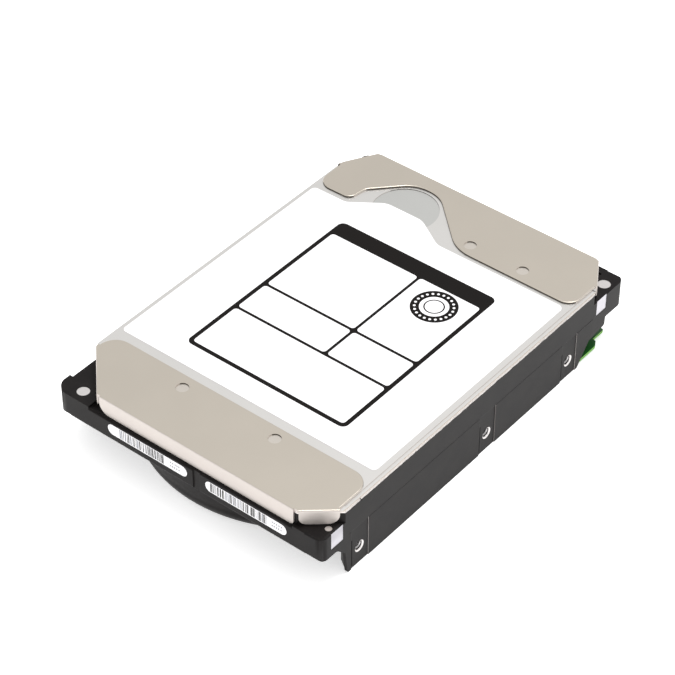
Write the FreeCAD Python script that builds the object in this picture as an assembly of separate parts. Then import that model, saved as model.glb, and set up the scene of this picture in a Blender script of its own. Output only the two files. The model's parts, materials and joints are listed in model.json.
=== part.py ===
import FreeCAD
import Part
import math
import os

# A 3.5 inch hard disk drive, 26.1 mm high class, label side up.
# X runs across the width, Y along the length with the connector end at +Y,
# and Z is up from the mounting plane.  All sizes are in millimetres.

V = FreeCAD.Vector

# Case outline, from the 3.5 inch drive standard
HALF_W = 50.8
HALF_L = 73.5
HEIGHT = 26.1

# Mounting holes, 6-32 UNC, from the same standard
HOLE_R = 1.38
SINK_R = 1.95
SINK_DEEP = 0.4
PAD_DEEP = 0.25
PAD_HALF = 3.9
PAD_Z = (-1.0, 15.0)
PAD_GROOVE_W = 0.6
PAD_GROOVE_DEEP = 0.6
PAD_GROOVE_Z = (0.9, 11.0)
SIDE_HOLE_Z = 6.35
SIDE_HOLE_Y = [45.0, 3.39, -56.6]
SIDE_HOLE_DEEP = 4.6
BOTTOM_HOLE_X = 47.625
BOTTOM_HOLE_Y = [32.22, -12.23, -43.98]
BOTTOM_HOLE_DEEP = 4.6

# Casting levels
EAR_TOP = 20.8
LEDGE_TOP = 19.9
LEDGE_LOW = 12.4
RIM_TOP = 25.0
SEAT_Z = 23.4
BOWL_LOW = 0.6
BOWL_FLOOR = 3.4
BAY_LOW = 3.9
BAY_FLOOR = 5.6
BAY_FAR_Y = 62.5

# Spindle
SPIN_Y = -21.5
BOWL_R = 48.0
BOWL_OUT_R = 50.0
PLATTER_R = 47.5
PLATTER_ID_R = 12.5
PLATTER_T = 0.8
PLATTER_PITCH = 2.3
PLATTER_COUNT = 6
PLATTER_LOW = 8.0

# Actuator
PIV_X = -22.0
PIV_Y = 31.0
PARK_DEG = -12.9
COIL_HALF_DEG = 22.0
HEAD_R = 50.5
ARM_T = 0.8
ARM_LOW_Z = 7.25

# Cover
COVER_T = 0.5
COVER_Z = RIM_TOP
LEVEL_TOP = COVER_Z + COVER_T
FRONT_Y = -72.4
REAR_Y = 70.75
COVER_HALF_W = 50.4
FLANGE_X = 49.3
FLANGE_DROP = 0.2
FLANGE_Y = (-62.0, 57.9)
PRESS_DEEP = 0.3
RECESS_DEEP = 0.15
BEND_R = 0.5
TAB_LOW = 21.0
SKIRT_LOW = 20.1

# Circuit board
BOARD_LOW = 0.9
BOARD_TOP = 1.9

os.makedirs("parts", exist_ok=True)


def box(x0, x1, y0, y1, z0, z1):
    return Part.makeBox(x1 - x0, y1 - y0, z1 - z0, V(x0, y0, z0))


def cyl(x, y, r, z0, z1):
    return Part.makeCylinder(r, z1 - z0, V(x, y, z0), V(0, 0, 1))


def tube(x, y, r_in, r_out, z0, z1):
    return cyl(x, y, r_out, z0, z1).cut(cyl(x, y, r_in, z0 - 1, z1 + 1))


def rounded_wire(points):
    """Closed outline from (x, y, corner radius) points."""
    n = len(points)
    corners = []
    for i in range(n):
        x, y, r = points[i]
        p = V(x, y, 0)
        a = V(points[i - 1][0], points[i - 1][1], 0) - p
        b = V(points[(i + 1) % n][0], points[(i + 1) % n][1], 0) - p
        a.normalize()
        b.normalize()
        turn = a.getAngle(b)
        if r < 0.01 or abs(turn - math.pi) < 0.01:
            corners.append((p, None, p))
            continue
        back = r / math.tan(turn / 2.0)
        middle = a + b
        middle.normalize()
        reach = r / math.sin(turn / 2.0) - r
        corners.append((p + a * back, p + middle * reach, p + b * back))
    edges = []
    for i in range(n):
        start, mid, end = corners[i]
        if mid is not None:
            edges.append(Part.Arc(start, mid, end).toShape())
        following = corners[(i + 1) % n][0]
        if (following - end).Length > 0.001:
            edges.append(Part.LineSegment(end, following).toShape())
    return Part.Wire(edges)


def prism(points, z0, z1):
    """Upright prism from (x, y) or (x, y, radius) points."""
    full = [(p[0], p[1], p[2] if len(p) > 2 else 0.0) for p in points]
    face = Part.Face(rounded_wire(full))
    solid = face.extrude(V(0, 0, z1 - z0))
    solid.translate(V(0, 0, z0))
    return solid


def inset(points, distances):
    """Move each edge of an anticlockwise outline inwards by its distance."""
    n = len(points)
    lines = []
    for i in range(n):
        x0, y0 = points[i][:2]
        x1, y1 = points[(i + 1) % n][:2]
        length = math.hypot(x1 - x0, y1 - y0)
        nx = -(y1 - y0) / length
        ny = (x1 - x0) / length
        lines.append((x0 + nx * distances[i], y0 + ny * distances[i], x1 - x0, y1 - y0))
    moved = []
    for i in range(n):
        ax, ay, adx, ady = lines[i - 1]
        bx, by, bdx, bdy = lines[i]
        cross = adx * bdy - ady * bdx
        t = ((bx - ax) * bdy - (by - ay) * bdx) / cross
        radius = points[i][2] if len(points[i]) > 2 else 0.0
        moved.append((ax + adx * t, ay + ady * t, radius))
    return moved


def polar(cx, cy, r, degrees):
    a = math.radians(degrees)
    return (cx + r * math.cos(a), cy + r * math.sin(a))


def sector(cx, cy, r0, r1, a0, a1, z0, z1):
    """Piece of a ring between two angles, in degrees."""
    points = []
    for r, angles in ((r0, (a0, (a0 + a1) / 2, a1)), (r1, (a1, (a0 + a1) / 2, a0))):
        points.append([V(*polar(cx, cy, r, a), z0) for a in angles])
    inner, outer = points
    edges = [
        Part.Arc(*inner).toShape(),
        Part.LineSegment(inner[2], outer[0]).toShape(),
        Part.Arc(*outer).toShape(),
        Part.LineSegment(outer[2], inner[0]).toShape(),
    ]
    return Part.Face(Part.Wire(edges)).extrude(V(0, 0, z1 - z0))


def side_profile(points, x0, x1):
    """Extrude a (y, z, radius) outline along X."""
    solid = prism(points, 0, x1 - x0)
    solid.rotate(V(0, 0, 0), V(1, 0, 0), 90)
    solid.rotate(V(0, 0, 0), V(0, 0, 1), 90)
    solid.translate(V(x0, 0, 0))
    return solid


def hanging_tab(p, q, trim_p, trim_q, z_low, r_p, r_q):
    """Sheet flap bent down from the cover's edge between p and q."""
    length = math.hypot(q[0] - p[0], q[1] - p[1])
    angle = math.degrees(math.atan2(q[1] - p[1], q[0] - p[0]))
    reach = BEND_R + 0.8
    bent = side_profile([
        (0, z_low - 1, 0),
        (COVER_T, z_low - 1, 0),
        (COVER_T, HEIGHT - COVER_T, 0),
        (reach, HEIGHT - COVER_T, 0),
        (reach, HEIGHT, 0),
        (0, HEIGHT, BEND_R),
    ], trim_p, length - trim_q)
    outline = prism([
        (trim_p, z_low, r_p),
        (length - trim_q, z_low, r_q),
        (length - trim_q, HEIGHT + 1, 0),
        (trim_p, HEIGHT + 1, 0),
    ], -reach, 0)
    outline.rotate(V(0, 0, 0), V(1, 0, 0), 90)
    flap = bent.common(outline)
    flap.rotate(V(0, 0, 0), V(0, 0, 1), angle)
    flap.translate(V(p[0], p[1], 0))
    return flap


def fused(shapes):
    result = shapes[0].multiFuse(shapes[1:]) if len(shapes) > 1 else shapes[0]
    return result.removeSplitter()


def turned(shape, degrees, cx=PIV_X, cy=PIV_Y):
    copy = shape.copy()
    copy.rotate(V(cx, cy, 0), V(0, 0, 1), degrees)
    return copy


def eased(shape, radius, test):
    """Round the edges that pass a test, or leave them if they cannot be."""
    chosen = [e for e in shape.Edges if test(e)]
    if not chosen:
        return shape
    try:
        result = shape.makeFillet(radius, chosen)
    except Part.OCCError:
        print("edges left sharp:", len(chosen))
        return shape
    if not result.isValid() or abs(result.Volume) < 0.5 * abs(shape.Volume):
        print("edges left sharp:", len(chosen))
        return shape
    return result


def level(z, tolerance=0.01):
    def test(edge):
        b = edge.BoundBox
        return abs(b.ZMin - z) < tolerance and abs(b.ZMax - z) < tolerance
    return test


def save(name, shapes):
    parts = shapes if isinstance(shapes, list) else [shapes]
    solids = [s for p in parts for s in p.Solids]
    shape = solids[0] if len(solids) == 1 else Part.makeCompound(solids)
    bounds = shape.BoundBox
    print("%-24s solids %3d volume %9.2f z %.2f..%.2f valid %s" % (
        name, len(solids), shape.Volume, bounds.ZMin, bounds.ZMax, shape.isValid()))
    shape.exportStep("parts/" + name + ".step")


# ------------------------------------------------------------------ outlines

COVER_OUT = [
    (-34.3, FRONT_Y),
    (41.0, FRONT_Y),
    (COVER_HALF_W, -64.3),
    (COVER_HALF_W, 58.8),
    (42.8, REAR_Y),
    (-43.6, REAR_Y),
    (-COVER_HALF_W, 58.8),
    (-COVER_HALF_W, -55.6),
]
# Edge order: front, near right, right, far right, rear, far left, left, near left.
# The wall stands behind the flaps, and beyond the cover on the two long sides.
BEHIND_FLAP = 0.6
BESIDE_COVER = COVER_HALF_W - HALF_W
WALL_OUT = inset(COVER_OUT, [BEHIND_FLAP, BEHIND_FLAP, BESIDE_COVER, BEHIND_FLAP,
                             BEHIND_FLAP, BEHIND_FLAP, BESIDE_COVER, BEHIND_FLAP])
PLAN = [
    (-HALF_W, -HALF_L, 5.0),
    (HALF_W, -HALF_L, 2.6),
    (HALF_W, HALF_L, 2.6),
    (-HALF_W, HALF_L, 2.6),
]
INNER_OUT = inset(COVER_OUT, [2.0, 2.0, 1.5, 2.0, 2.6, 2.0, 1.5, 2.0])
INNER_OUT = [(x, y, 1.5) for x, y, r in INNER_OUT]
BAY = [
    (-47.4, 22.0, 3.0),
    (-30.0, 12.0, 3.0),
    (38.0, 6.0, 3.0),
    (44.6, 12.0, 3.0),
    (44.6, 24.0, 2.0),
    (46.6, 27.0, 2.0),
    (46.6, 55.5, 3.0),
    (-6.0, 55.5, 2.0),
    (-11.0, BAY_FAR_Y, 3.0),
    (-41.5, BAY_FAR_Y, 3.0),
    (-47.4, 55.5, 3.0),
]
INNER_SCREWS = [
    (-40.3, -59.6),
    (43.2, -60.4),
    (-45.8, 13.5),
    (46.7, 17.6),
    (43.4, 60.0),
    (18.0, 62.5),
    (-44.0, 61.8),
]

FRONT_LABEL_LEFT = (-29.5, 1.2)
FRONT_LABEL_RIGHT = (8.1, 38.1)
FRONT_LABEL_T = 0.1


def front_label(x0, x1):
    """Thin round-ended plate, flush with the front face."""
    z0, z1 = 15.05, 18.95
    r = (z1 - z0) / 2 - 0.02
    plate = prism([(x0, z0, r), (x1, z0, r), (x1, z1, r), (x0, z1, r)], 0, FRONT_LABEL_T)
    plate.rotate(V(0, 0, 0), V(1, 0, 0), 90)
    plate.translate(V(0, -HALF_L + FRONT_LABEL_T, 0))
    return plate


# -------------------------------------------------------------- base casting

SIDE_OUTLINE = [
    (-HALF_L, LEDGE_LOW, 1.2),
    (-66.8, LEDGE_LOW, 2.2),
    (-63.3, 8.9, 1.0),
    (-62.2, 0.0, 1.0),
    (50.0, 0.0, 0.8),
    (55.8, 7.4, 0.8),
    (64.0, 8.4, 0.8),
    (64.2, 11.5, 0.3),
    (HALF_L, 11.5, 1.4),
    (HALF_L, EAR_TOP, 0.4),
    (-HALF_L, EAR_TOP, 0.4),
]
RAIL_IN = 44.1
FOOT_HOLLOW = [(43.0, -HALF_L - 1.0), (49.8, -HALF_L - 1.0), (49.8, -61.8), (46.0, -59.2),
               (46.0, -53.5), (43.0, -51.5)]
REAR_EAR_IN = 38.0
REAR_EAR_LOW = 11.5
SKIRT_GAP = 0.15
EAR_DISCS = [(-42.7, -69.5, 2.0), (48.6, -67.9, 1.05), (47.4, 67.3, 2.1), (-47.2, 67.4, 2.1)]
DATUM_NEAR = (-69.4, -64.1, 14.9)
DATUM_FAR = (58.8, 64.0, 15.2)
MILL_DEEP = 0.12
PARTING_DEEP = 0.05
PARTING_Z = (15.0, 15.2)
RIM_STEP_X = 50.6
RIM_STEP_Z = 24.75
EAR_IN_LEFT = -37.0
EAR_IN_RIGHT = 40.2
BOWL_ROUND = 5.5
RIM_NOTCH_Y = (-56.6, -56.2)
MOTOR_RING_R = (21.0, 22.0)
LATCH_X = -43.2
LATCH_Y = 55.3
FEED_X0 = 4.0
FEED_X1 = 26.0
FEED_Y0 = 44.5
FEED_Y1 = 52.5
BOARD_SCREWS = [(-38.0, 60.5), (-38.5, 16.5), (39.5, 17.5), (39.0, 52.0), (-4.0, 59.5)]


def both_sides(shapes):
    """The shapes, and their mirror images on the left side."""
    return shapes + [s.mirror(V(0, 0, 0), V(1, 0, 0)) for s in shapes]


def side_box(deep, y0, y1, z0, z1):
    """Shallow cut of a given depth into the right side face."""
    return box(HALF_W - deep, HALF_W + 1, y0, y1, z0, z1)


def make_side_cuts():
    """Everything machined or drawn into the right side, and its bottom holes."""
    cuts = [
        side_box(MILL_DEEP, DATUM_NEAR[0], DATUM_NEAR[1], DATUM_NEAR[2], EAR_TOP + 1),
        side_box(MILL_DEEP, DATUM_FAR[0], DATUM_FAR[1], DATUM_FAR[2], EAR_TOP + 1),
        side_box(PARTING_DEEP, -61.5, 57.0, *PARTING_Z),
        box(RIM_STEP_X, HALF_W + 1, -HALF_L, HALF_L, RIM_STEP_Z, HEIGHT),
        box(RIM_STEP_X - 0.4, HALF_W + 1, *RIM_NOTCH_Y, RIM_STEP_Z - 0.6, HEIGHT),
    ]
    out = V(1, 0, 0)
    face_x = HALF_W - PAD_DEEP
    cuts.append(prism(FOOT_HOLLOW, -1, LEDGE_LOW))
    for y in SIDE_HOLE_Y:
        low_y = y - PAD_HALF
        cuts.append(side_box(PAD_DEEP, low_y, y + PAD_HALF, *PAD_Z))
        cuts.append(side_box(PAD_GROOVE_DEEP, low_y, low_y + PAD_GROOVE_W, *PAD_GROOVE_Z))
        cuts.append(Part.makeCylinder(HOLE_R, SIDE_HOLE_DEEP,
                                      V(HALF_W - SIDE_HOLE_DEEP, y, SIDE_HOLE_Z), out))
        cuts.append(Part.makeCone(HOLE_R, SINK_R, SINK_DEEP,
                                  V(face_x - SINK_DEEP, y, SIDE_HOLE_Z), out))
    for y in BOTTOM_HOLE_Y:
        cuts.append(cyl(BOTTOM_HOLE_X, y, HOLE_R, -1, BOTTOM_HOLE_DEEP))
        cuts.append(Part.makeCone(SINK_R, HOLE_R, SINK_DEEP,
                                  V(BOTTOM_HOLE_X, y, 0), V(0, 0, 1)))
    return cuts


def make_casting():
    side = side_profile(SIDE_OUTLINE, RAIL_IN, HALF_W)
    other = side.mirror(V(0, 0, 0), V(1, 0, 0))
    front_band = side_profile([
        (-HALF_L, LEDGE_LOW, 1.0),
        (-50.0, LEDGE_LOW, 0),
        (-50.0, LEDGE_TOP, 0),
        (-HALF_L, LEDGE_TOP, 0.5),
    ], -RAIL_IN - 0.5, RAIL_IN + 0.5)
    middle = box(-RAIL_IN - 0.5, RAIL_IN + 0.5, -50.0, REAR_Y - 0.6, LEDGE_LOW, EAR_TOP)
    rear_band = box(-RAIL_IN - 0.5, RAIL_IN + 0.5, 62.0, REAR_Y - 0.6, 8.6, LEDGE_LOW)
    bowl = cyl(0, SPIN_Y, BOWL_OUT_R, BOWL_LOW, LEDGE_LOW + 1.0)
    bowl = eased(bowl, BOWL_ROUND, level(BOWL_LOW))
    bay_under = prism([
        (-RAIL_IN - 0.5, 0.0),
        (RAIL_IN + 0.5, 0.0),
        (RAIL_IN + 0.5, 64.0),
        (-RAIL_IN - 0.5, 64.0),
    ], BAY_LOW, LEDGE_LOW)
    ears = [
        box(-RAIL_IN - 0.5, EAR_IN_LEFT, -HALF_L, -60.0, LEDGE_TOP - 1.0, EAR_TOP),
        box(EAR_IN_RIGHT, RAIL_IN + 0.5, -HALF_L, -60.0, LEDGE_TOP - 1.0, EAR_TOP),
    ]
    ears += both_sides([
        box(REAR_EAR_IN, RAIL_IN + 0.5, 69.0, HALF_L, REAR_EAR_LOW, SKIRT_LOW - SKIRT_GAP),
        box(REAR_EAR_IN, RAIL_IN + 0.5, REAR_Y + SKIRT_GAP, HALF_L, REAR_EAR_LOW, EAR_TOP),
    ])
    body = fused([side, other, front_band, middle, rear_band, bowl, bay_under] + ears)
    body = body.common(prism(PLAN, -1, 30))
    wall = prism(WALL_OUT, LEDGE_LOW + 1.0, RIM_TOP)
    body = fused([body, wall])

    # Cavity for the disc pack, bay for the actuator, and the inner cover's seat
    cavity = cyl(0, SPIN_Y, BOWL_R, BOWL_FLOOR, RIM_TOP + 1)
    bay = prism(BAY, BAY_FLOOR, RIM_TOP + 1)
    bosses = [cyl(x, y, 3.2, BAY_FLOOR - 1, RIM_TOP + 2) for x, y in INNER_SCREWS]
    bay = bay.cut(Part.makeCompound(bosses))
    bay = max(bay.Solids, key=lambda s: s.Volume)
    seat = prism(INNER_OUT, SEAT_Z, RIM_TOP + 1)
    body = body.cut(fused([cavity, bay]))
    body = body.cut(seat)

    # Motor mount: raised disc with an upright collar for the stator
    motor = fused([
        cyl(0, SPIN_Y, 19.0, BOWL_FLOOR - 0.5, 5.4),
        cyl(0, SPIN_Y, 6.4, 5.0, 14.2),
    ])
    motor = motor.cut(cyl(0, SPIN_Y, 5.2, 4.2, 15.0))
    motor = motor.cut(cyl(0, SPIN_Y, 2.5, 1.4, 5.0))
    body = body.cut(cyl(0, SPIN_Y, 2.5, 1.4, 5.0))
    body = fused([body, motor])

    # Boss for the actuator pivot, and the hole for the latch pin
    pivot = cyl(PIV_X, PIV_Y, 4.2, BAY_FLOOR - 0.5, 6.0)
    body = fused([body, pivot])
    body = body.cut(cyl(PIV_X, PIV_Y, 2.0, 4.4, 7.0))
    body = body.cut(cyl(LATCH_X, LATCH_Y, 0.8, 4.4, 7.0))

    # Feedthrough opening through the bay floor, and motor contact slot
    body = body.cut(box(FEED_X0 + 1.2, FEED_X1 - 1.2, FEED_Y0 + 1.2, FEED_Y1 - 1.2,
                        BAY_LOW - 1, BAY_FLOOR + 1))
    body = body.cut(box(FEED_X0, FEED_X1, FEED_Y0, FEED_Y1, BAY_LOW - 0.1, BAY_LOW + 0.8))

    # Pocket for the interface connector in the rear wall
    body = body.cut(box(1.5, 40.0, 58.6, HALF_L + 1, -1, 8.5))

    # Board screw bosses under the bay
    for x, y in BOARD_SCREWS:
        body = fused([body, cyl(x, y, 2.6, BOARD_TOP, BAY_LOW + 1.0)])
        body = body.cut(cyl(x, y, 0.8, BOARD_TOP - 1, BAY_LOW + 1.2))

    # Tapped holes in the seat for the inner cover
    for x, y in INNER_SCREWS:
        body = body.cut(cyl(x, y, 0.9, SEAT_Z - 4.0, SEAT_Z + 1))

    # Mounting holes, milled pads and flats, ear discs, and the ring under the motor
    for cut in both_sides(make_side_cuts()):
        body = body.cut(cut)
    body = body.cut(box(-HALF_W - 1, -HALF_W + 1.3, -66.8, -55.0, 17.0, EAR_TOP + 0.1))
    for x, y, r in EAR_DISCS:
        body = body.cut(cyl(x, y, r, EAR_TOP - MILL_DEEP, EAR_TOP + 1))
    body = body.cut(tube(0, SPIN_Y, *MOTOR_RING_R, BOWL_LOW - 1, BOWL_LOW + 0.3))

    # Groove between the two front labels, and their shallow beds
    body = body.cut(side_profile([
        (-HALF_L - 1, LEDGE_LOW - 1, 0),
        (-HALF_L + 0.35, LEDGE_LOW - 1, 0),
        (-HALF_L + 0.35, LEDGE_TOP + 1, 0),
        (-HALF_L - 1, LEDGE_TOP + 1, 0),
    ], 3.4, 6.0))
    body = body.cut(front_label(*FRONT_LABEL_LEFT))
    body = body.cut(front_label(*FRONT_LABEL_RIGHT))
    return body


save("base_casting", make_casting())

# --------------------------------------------------------------- outer cover

NEAR_PLATE = [
    (-34.3, FRONT_Y, 0),
    (41.0, FRONT_Y, 0),
    (FLANGE_X, -65.3, 0),
    (FLANGE_X, -49.5, 6.0),
    (-48.9, -49.5, 6.0),
    (-48.9, -57.8, 0),
]
FAR_PLATE = [
    (FLANGE_X, 46.9, 4.5),
    (FLANGE_X, 60.5, 0),
    (42.8, REAR_Y, 0),
    (-43.6, REAR_Y, 0),
    (-COVER_HALF_W, 58.8, 0),
    (-49.0, 46.0, 5.0),
    (-35.9, 46.2, 3.0),
    (-35.0, 53.0, 4.0),
    (-23.7, 65.0, 10.5),
    (-14.3, 65.0, 10.5),
    (5.3, 46.9, 14.0),
]
RECESS = (-19.0, 53.0, 10.9)
PLATE_DISCS = [(8.0, 51.1), (27.8, 51.3), (-17.2, -54.3), (17.5, -53.9)]


def make_cover():
    r = BEND_R
    sheet = prism(inset(COVER_OUT, [r, r, 0, r, r, r, 0, r]), COVER_Z, LEVEL_TOP)
    near = prism(inset(NEAR_PLATE, [r, r, 0, 0, 0, r]), COVER_Z, HEIGHT)
    far = prism(inset(FAR_PLATE, [0, r, r, r] + [0] * 7), COVER_Z, HEIGHT)
    near = eased(near, 0.35, lambda e: level(HEIGHT)(e) and e.BoundBox.YMin > -66)
    far = eased(far, 0.35, lambda e: level(HEIGHT)(e) and e.BoundBox.YMax < 65.5)
    c = COVER_OUT
    tabs = [
        hanging_tab(c[0], c[1], 0.9, 1.3, SKIRT_LOW, 3.6, 1.3),
        hanging_tab(c[1], c[2], 0.5, 0.5, TAB_LOW, 2.2, 3.4),
        hanging_tab(c[3], c[4], 1.0, 0.6, TAB_LOW, 2.2, 2.2),
        hanging_tab(c[4], c[5], 1.0, 1.0, SKIRT_LOW, 1.6, 1.6),
        hanging_tab(c[5], c[6], 0.6, 1.0, TAB_LOW, 2.2, 2.2),
        hanging_tab(c[7], c[0], 1.0, 0.5, TAB_LOW, 2.2, 2.2),
    ]
    cover = fused([sheet, near, far] + tabs)

    # The raised ends are pressed up from below, so their undersides are hollow
    near_hollow = prism([
        (-32.0, -69.0, 1.0),
        (39.6, -69.0, 1.0),
        (46.4, -63.0, 1.0),
        (46.4, -52.0, 4.0),
        (-46.4, -52.0, 1.2),
        (-46.4, -54.8, 1.0),
    ], COVER_Z - 1, HEIGHT - COVER_T)
    right_hollow = prism([
        (46.4, 49.2, 3.0),
        (46.4, 57.0, 1.0),
        (41.0, 67.6, 1.0),
        (-10.5, 67.6, 2.0),
        (8.5, 49.2, 8.0),
    ], COVER_Z - 1, HEIGHT - COVER_T)
    left_hollow = prism([
        (-27.5, 64.6, 1.0),
        (-27.5, 67.6, 1.0),
        (-42.0, 67.6, 1.0),
        (-46.4, 59.6, 1.0),
        (-46.4, 48.6, 2.5),
        (-38.4, 48.7, 1.0),
        (-37.2, 54.2, 1.0),
    ], COVER_Z - 1, HEIGHT - COVER_T)
    cover = cover.cut(near_hollow).cut(right_hollow).cut(left_hollow)

    # A lower flange runs along each long side
    flange = box(FLANGE_X, HALF_W, *FLANGE_Y, LEVEL_TOP - FLANGE_DROP, HEIGHT + 1)
    for cut in both_sides([flange]):
        cover = cover.cut(cut)

    # Shallow round pressings
    x, y, r = RECESS
    cover = cover.cut(cyl(x, y, r, LEVEL_TOP - RECESS_DEEP, LEVEL_TOP))
    for x, y in PLATE_DISCS:
        cover = cover.cut(cyl(x, y, 2.0, HEIGHT - PRESS_DEEP, HEIGHT + 1))

    return cover


save("outer_cover", make_cover())

LABEL_Z = LEVEL_TOP
LABEL = [
    (-48.8, -46.0, 1.5),
    (47.4, -46.0, 1.5),
    (47.4, 45.6, 2.0),
    (-0.5, 45.3, 6.0),
    (-11.5, 52.0, 7.0),
    (-25.6, 51.9, 6.0),
    (-36.1, 44.2, 4.0),
    (-48.8, 44.0, 1.5),
]
save("product_label", prism(LABEL, LABEL_Z, LABEL_Z + 0.1))


save("front_label_left", front_label(*FRONT_LABEL_LEFT))
save("front_label_right", front_label(*FRONT_LABEL_RIGHT))

# ------------------------------------------------------------- sealed inside


def make_inner_cover():
    plate = prism(INNER_OUT_CLEAR, SEAT_Z + 0.5, SEAT_Z + 1.3)
    for x, y in INNER_SCREWS:
        plate = plate.cut(cyl(x, y, 1.1, SEAT_Z, SEAT_Z + 2))
    plate = plate.cut(cyl(0, SPIN_Y, 1.3, SEAT_Z, SEAT_Z + 2))
    plate = plate.cut(cyl(PIV_X, PIV_Y, 1.3, SEAT_Z, SEAT_Z + 2))
    return plate


INNER_OUT_CLEAR = inset(INNER_OUT, [0.15] * 8)
save("inner_cover", make_inner_cover())


def make_gasket():
    ring = prism(INNER_OUT_CLEAR, SEAT_Z, SEAT_Z + 0.5)
    hole = fused([
        cyl(0, SPIN_Y, BOWL_R + 0.25, SEAT_Z - 1, SEAT_Z + 2),
        prism(inset(BAY, [-0.3] * len(BAY)), SEAT_Z - 1, SEAT_Z + 2),
    ])
    ring = ring.cut(hole)
    ring = max(ring.Solids, key=lambda s: s.Volume)
    for x, y in INNER_SCREWS:
        ring = ring.cut(cyl(x, y, 1.1, SEAT_Z - 1, SEAT_Z + 2))
    return max(ring.Solids, key=lambda s: s.Volume)


save("inner_cover_gasket", make_gasket())


def screw(x, y, z_seat, head_r, head_h, shank_r, length):
    """Low socket screw standing on z_seat, with its shank downwards."""
    head = cyl(x, y, head_r, z_seat, z_seat + head_h)
    shank = cyl(x, y, shank_r, z_seat - length, z_seat + 0.1)
    socket = prism([polar(x, y, head_r * 0.5, 60 * k) for k in range(6)],
                   z_seat + head_h * 0.45, z_seat + head_h + 1)
    return fused([head, shank]).cut(socket)


save("inner_cover_screws",
     [screw(x, y, SEAT_Z + 1.3, 1.9, 0.28, 0.9, 4.9) for x, y in INNER_SCREWS])


def deck_z(k):
    return PLATTER_LOW + PLATTER_PITCH * k


TOP_PLATTER = deck_z(PLATTER_COUNT - 1) + PLATTER_T
HUB_TOP = TOP_PLATTER + 0.5


def make_hub():
    hub = fused([
        cyl(0, SPIN_Y, PLATTER_ID_R, PLATTER_LOW - 1.0, HUB_TOP),
        cyl(0, SPIN_Y, 15.5, PLATTER_LOW - 1.0, PLATTER_LOW),
    ])
    hub = hub.cut(cyl(0, SPIN_Y, 10.6, PLATTER_LOW - 2.0, 15.6))
    hub = hub.cut(cyl(0, SPIN_Y, 4.4, 4.0, HUB_TOP + 1))
    for k in range(6):
        x, y = polar(0, SPIN_Y, 8.5, 60 * k)
        hub = hub.cut(cyl(x, y, 0.75, HUB_TOP - 3.6, HUB_TOP + 1))
    return hub


save("spindle_hub", make_hub())
save("bearing_sleeve", tube(0, SPIN_Y, 2.55, 4.4, 5.0, HUB_TOP))
save("motor_shaft", fused([
    cyl(0, SPIN_Y, 2.5, 1.4, SEAT_Z + 0.5),
]).cut(cyl(0, SPIN_Y, 0.9, SEAT_Z - 4.0, SEAT_Z + 1)))
save("rotor_magnet", tube(0, SPIN_Y, 9.4, 10.6, PLATTER_LOW - 0.6, 14.6))
save("platters", [tube(0, SPIN_Y, PLATTER_ID_R, PLATTER_R, deck_z(k), deck_z(k) + PLATTER_T)
                  for k in range(PLATTER_COUNT)])
save("platter_spacers", [tube(0, SPIN_Y, PLATTER_ID_R, 15.5, deck_z(k) + PLATTER_T, deck_z(k + 1))
                         for k in range(PLATTER_COUNT - 1)])


def make_clamp():
    clamp = fused([
        tube(0, SPIN_Y, PLATTER_ID_R + 0.1, 15.6, TOP_PLATTER, TOP_PLATTER + 1.2),
        tube(0, SPIN_Y, 4.6, 13.0, HUB_TOP, HUB_TOP + 0.7),
    ])
    for k in range(6):
        x, y = polar(0, SPIN_Y, 8.5, 60 * k)
        clamp = clamp.cut(cyl(x, y, 0.85, HUB_TOP - 1, HUB_TOP + 2))
    for k in range(12):
        x, y = polar(0, SPIN_Y, 11.2, 30 * k + 15)
        clamp = clamp.cut(cyl(x, y, 0.5, HUB_TOP - 1, HUB_TOP + 2))
    return clamp


save("disk_clamp", make_clamp())
save("disk_clamp_screws", [
    screw(*polar(0, SPIN_Y, 8.5, 60 * k), HUB_TOP + 0.7, 1.3, 0.7, 0.75, 3.9)
    for k in range(6)])

STATOR_Z0 = 8.0
STATOR_Z1 = 12.6


def make_stator():
    core = [tube(0, SPIN_Y, 6.4, 7.2, STATOR_Z0, STATOR_Z1)]
    for k in range(9):
        tooth = box(7.0, 8.9, SPIN_Y - 0.45, SPIN_Y + 0.45, STATOR_Z0, STATOR_Z1)
        core.append(turned(tooth, 40 * k, 0, SPIN_Y))
        core.append(sector(0, SPIN_Y, 8.6, 9.1, 40 * k - 14, 40 * k + 14,
                           STATOR_Z0, STATOR_Z1))
    return fused(core)


def make_windings():
    coils = []
    for k in range(9):
        outer = box(7.3, 8.5, SPIN_Y - 1.15, SPIN_Y + 1.15, STATOR_Z0 - 0.7, STATOR_Z1 + 0.7)
        inner = box(7.0, 8.9, SPIN_Y - 0.46, SPIN_Y + 0.46, STATOR_Z0 - 0.01, STATOR_Z1 + 0.01)
        coils.append(turned(outer.cut(inner), 40 * k, 0, SPIN_Y))
    return coils


save("stator_core", make_stator())
save("stator_windings", make_windings())

# ------------------------------------------------------------------ actuator

ARM_COUNT = PLATTER_COUNT + 1
BLOCK_LOW = 6.3
BLOCK_TOP = ARM_LOW_Z + PLATTER_PITCH * (ARM_COUNT - 1) + 0.9
COIL_Z0 = 11.4
COIL_Z1 = 14.8


def arm_z(k):
    return ARM_LOW_Z + PLATTER_PITCH * k


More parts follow.
